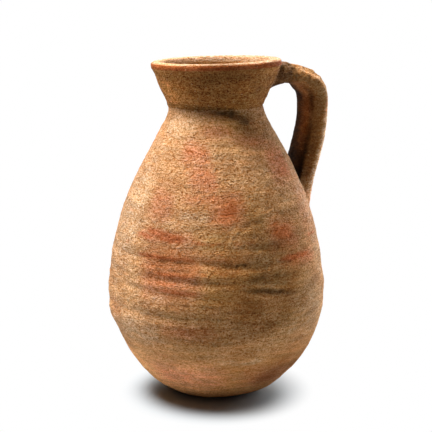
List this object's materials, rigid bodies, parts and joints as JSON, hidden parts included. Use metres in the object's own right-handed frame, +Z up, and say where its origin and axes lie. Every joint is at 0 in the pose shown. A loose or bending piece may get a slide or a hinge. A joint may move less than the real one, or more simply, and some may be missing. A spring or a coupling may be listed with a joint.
{
  "type": "redware jug",
  "caption": "Wheel-thrown unglazed redware jug with a flared neck, a round body on a small flat base and a strap handle from rim to shoulder.",
  "frame": {"origin": "centre of the flat resting face under the base", "axes": "+Z up along the vessel's axis, +X towards the handle, -Z out of the resting face"},
  "size_m": [0.1741, 0.1628, 0.2519],
  "materials": {
    "body_clay": "matt unglazed, gritty",
    "neck_clay": "matt unglazed, gritty",
    "handle_clay": "matt unglazed, smeared",
    "luting_clay": "matt unglazed, smeared"
  },
  "bodies": {
    "root": {"lower_body": "body_clay", "upper_body": "body_clay", "neck": "neck_clay", "neck_luting_coil": "luting_clay", "handle": "handle_clay", "handle_root_luting": "luting_clay", "handle_foot_luting": "luting_clay"}
  },
  "joints": []
}
